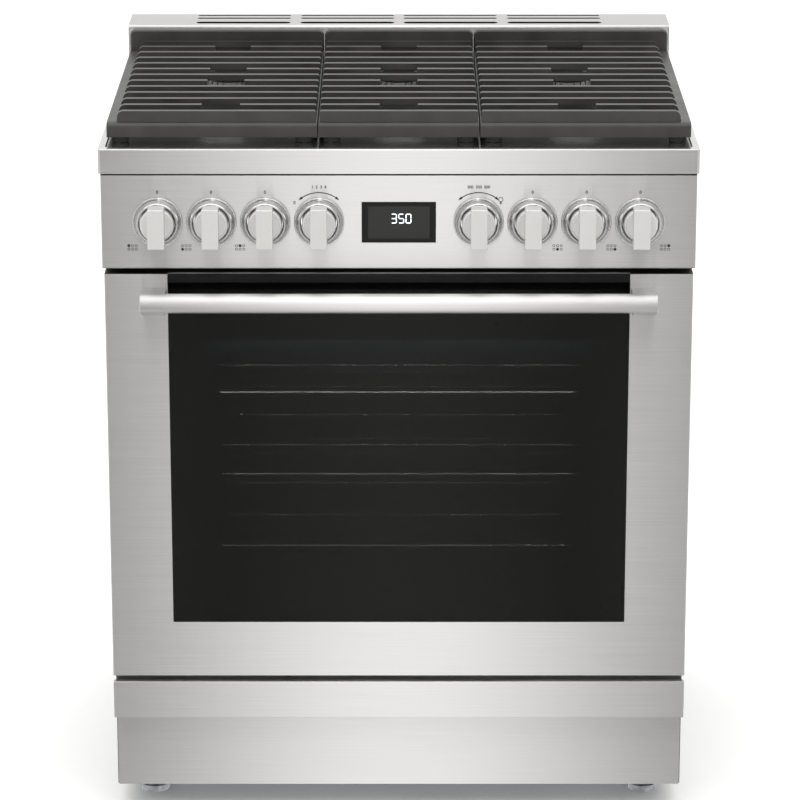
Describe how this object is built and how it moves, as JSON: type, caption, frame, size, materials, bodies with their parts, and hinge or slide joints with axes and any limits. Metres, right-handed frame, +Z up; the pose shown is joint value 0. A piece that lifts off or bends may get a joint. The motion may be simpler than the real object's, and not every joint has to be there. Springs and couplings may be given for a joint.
{
  "type": "freestanding gas range",
  "caption": "Freestanding stainless gas range with cast iron grates over a flat cooktop, front knobs, a drop-down oven door with bar handle and a rear vent trim.",
  "frame": {"origin": "on the floor at the middle of the outline", "axes": "+Z up, -Y towards the person at the door, +X to that person's right"},
  "size_m": [0.76, 0.714, 0.966],
  "materials": {
    "brushed_stainless": "brushed satin",
    "polished_stainless": "polished",
    "satin_knob_metal": "satin",
    "polished_trim": "polished",
    "grey_body_paint": "powder coat",
    "galvanised_sheet": "galvanised",
    "black_glass": "gloss",
    "clear_glass": "gloss",
    "oven_enamel": "gloss enamel",
    "black_enamel": "satin enamel",
    "cast_iron": "matt enamel",
    "burner_aluminium": "cast",
    "rack_chrome": "bright",
    "door_seal": "braided glass fibre",
    "mineral_wool": "matt",
    "black_plastic": "moulded",
    "brass_fittings": "turned",
    "white_ceramic": "glazed ceramic",
    "circuit_board": "solder mask"
  },
  "bodies": {
    "range_body": {"side_panel_left": "grey_body_paint", "side_panel_right": "grey_body_paint", "rear_panel": "galvanised_sheet", "base_pan": "galvanised_sheet", "levelling_legs": "galvanised_sheet", "front_frame": "black_enamel", "kick_panel": "brushed_stainless", "lower_trim": "brushed_stainless", "oven_cavity": "oven_enamel", "insulation": "mineral_wool", "rack_guides": "rack_chrome", "fan_cover": "oven_enamel", "fan_motor": "black_enamel", "oven_lamp": "clear_glass", "oven_burners": "galvanised_sheet", "hinge_arms": "galvanised_sheet", "control_panel": "brushed_stainless", "display_lens": "black_glass", "display_board": "circuit_board", "knob_bezels": "polished_trim", "oven_controls": "black_plastic", "burner_valves": "brass_fittings", "gas_manifold": "galvanised_sheet", "gas_regulator": "burner_aluminium", "cord_gland": "black_plastic", "cooktop": "polished_stainless", "burner_bases": "polished_stainless", "burner_heads": "burner_aluminium", "burner_caps": "black_enamel", "spark_igniters": "white_ceramic", "rear_vent_trim": "brushed_stainless"},
    "door": {"door_skin": "brushed_stainless", "door_outer_glass": "black_glass", "door_liner": "oven_enamel", "door_inner_glass": "clear_glass", "door_gasket": "door_seal", "handle_bar": "brushed_stainless", "handle_posts": "brushed_stainless", "door_hinge_pins": "galvanised_sheet"},
    "rack_lower": {"rack_lower": "rack_chrome"},
    "rack_middle": {"rack_middle": "rack_chrome"},
    "rack_upper": {"rack_upper": "rack_chrome"},
    "fan": {"convection_fan": "galvanised_sheet"},
    "oven_mode_knob": {"knob_oven_mode": "satin_knob_metal"},
    "oven_temperature_knob": {"knob_oven_temperature": "satin_knob_metal"},
    "left_grate": {"grate_left": "cast_iron"},
    "centre_grate": {"grate_centre": "cast_iron"},
    "right_grate": {"grate_right": "cast_iron"},
    "left_rear_stem": {"stem_left_rear": "brass_fittings"},
    "left_rear_knob": {"knob_left_rear_burner": "satin_knob_metal"},
    "left_front_stem": {"stem_left_front": "brass_fittings"},
    "left_front_knob": {"knob_left_front_burner": "satin_knob_metal"},
    "centre_rear_stem": {"stem_centre_rear": "brass_fittings"},
    "centre_rear_knob": {"knob_centre_rear_burner": "satin_knob_metal"},
    "centre_front_stem": {"stem_centre_front": "brass_fittings"},
    "centre_front_knob": {"knob_centre_front_burner": "satin_knob_metal"},
    "right_front_stem": {"stem_right_front": "brass_fittings"},
    "right_front_knob": {"knob_right_front_burner": "satin_knob_metal"},
    "right_rear_stem": {"stem_right_rear": "brass_fittings"},
    "right_rear_knob": {"knob_right_rear_burner": "satin_knob_metal"}
  },
  "joints": [
    {"name": "door_hinge", "type": "hinge", "parent": "range_body", "child": "door", "pos_m": [0, -0.268, 0.2225], "axis": [1, 0, 0], "range_deg": [0, 90]},
    {"name": "left_rear_knob_push", "type": "slide", "parent": "range_body", "child": "left_rear_stem", "axis": [0, 1, 0], "range_m": [0, 0.003], "stiffness_N_per_m": 2500, "springref_m": -0.002},
    {"name": "left_rear_knob_turn", "type": "hinge", "parent": "left_rear_stem", "child": "left_rear_knob", "pos_m": [-0.3056, -0.31, 0.82], "axis": [0, -1, 0], "range_deg": [0, 270]},
    {"name": "left_front_knob_push", "type": "slide", "parent": "range_body", "child": "left_front_stem", "axis": [0, 1, 0], "range_m": [0, 0.003], "stiffness_N_per_m": 2500, "springref_m": -0.002},
    {"name": "left_front_knob_turn", "type": "hinge", "parent": "left_front_stem", "child": "left_front_knob", "pos_m": [-0.2374, -0.31, 0.82], "axis": [0, -1, 0], "range_deg": [0, 270]},
    {"name": "centre_rear_knob_push", "type": "slide", "parent": "range_body", "child": "centre_rear_stem", "axis": [0, 1, 0], "range_m": [0, 0.003], "stiffness_N_per_m": 2500, "springref_m": -0.002},
    {"name": "centre_rear_knob_turn", "type": "hinge", "parent": "centre_rear_stem", "child": "centre_rear_knob", "pos_m": [-0.1692, -0.31, 0.82], "axis": [0, -1, 0], "range_deg": [0, 270]},
    {"name": "centre_front_knob_push", "type": "slide", "parent": "range_body", "child": "centre_front_stem", "axis": [0, 1, 0], "range_m": [0, 0.003], "stiffness_N_per_m": 2500, "springref_m": -0.002},
    {"name": "centre_front_knob_turn", "type": "hinge", "parent": "centre_front_stem", "child": "centre_front_knob", "pos_m": [0.1692, -0.31, 0.82], "axis": [0, -1, 0], "range_deg": [0, 270]},
    {"name": "right_front_knob_push", "type": "slide", "parent": "range_body", "child": "right_front_stem", "axis": [0, 1, 0], "range_m": [0, 0.003], "stiffness_N_per_m": 2500, "springref_m": -0.002},
    {"name": "right_front_knob_turn", "type": "hinge", "parent": "right_front_stem", "child": "right_front_knob", "pos_m": [0.2374, -0.31, 0.82], "axis": [0, -1, 0], "range_deg": [0, 270]},
    {"name": "right_rear_knob_push", "type": "slide", "parent": "range_body", "child": "right_rear_stem", "axis": [0, 1, 0], "range_m": [0, 0.003], "stiffness_N_per_m": 2500, "springref_m": -0.002},
    {"name": "right_rear_knob_turn", "type": "hinge", "parent": "right_rear_stem", "child": "right_rear_knob", "pos_m": [0.3056, -0.31, 0.82], "axis": [0, -1, 0], "range_deg": [0, 270]},
    {"name": "oven_mode_turn", "type": "hinge", "parent": "range_body", "child": "oven_mode_knob", "pos_m": [-0.101, -0.31, 0.82], "axis": [0, 1, 0], "range_deg": [0, 300]},
    {"name": "oven_temperature_turn", "type": "hinge", "parent": "range_body", "child": "oven_temperature_knob", "pos_m": [0.101, -0.31, 0.82], "axis": [0, 1, 0], "range_deg": [0, 300]},
    {"name": "left_grate_lift", "type": "slide", "parent": "range_body", "child": "left_grate", "axis": [0, 0, 1], "range_m": [0, 0.12]},
    {"name": "centre_grate_lift", "type": "slide", "parent": "range_body", "child": "centre_grate", "axis": [0, 0, 1], "range_m": [0, 0.12]},
    {"name": "right_grate_lift", "type": "slide", "parent": "range_body", "child": "right_grate", "axis": [0, 0, 1], "range_m": [0, 0.12]},
    {"name": "rack_lower_slide", "type": "slide", "parent": "range_body", "child": "rack_lower", "axis": [0, -1, 0], "range_m": [0, 0.02]},
    {"name": "rack_middle_slide", "type": "slide", "parent": "range_body", "child": "rack_middle", "axis": [0, -1, 0], "range_m": [0, 0.02]},
    {"name": "rack_upper_slide", "type": "slide", "parent": "range_body", "child": "rack_upper", "axis": [0, -1, 0], "range_m": [0, 0.02]},
    {"name": "fan_spin", "type": "hinge", "parent": "range_body", "child": "fan", "pos_m": [0, 0.221, 0.467], "axis": [0, 1, 0], "continuous": true}
  ]
}
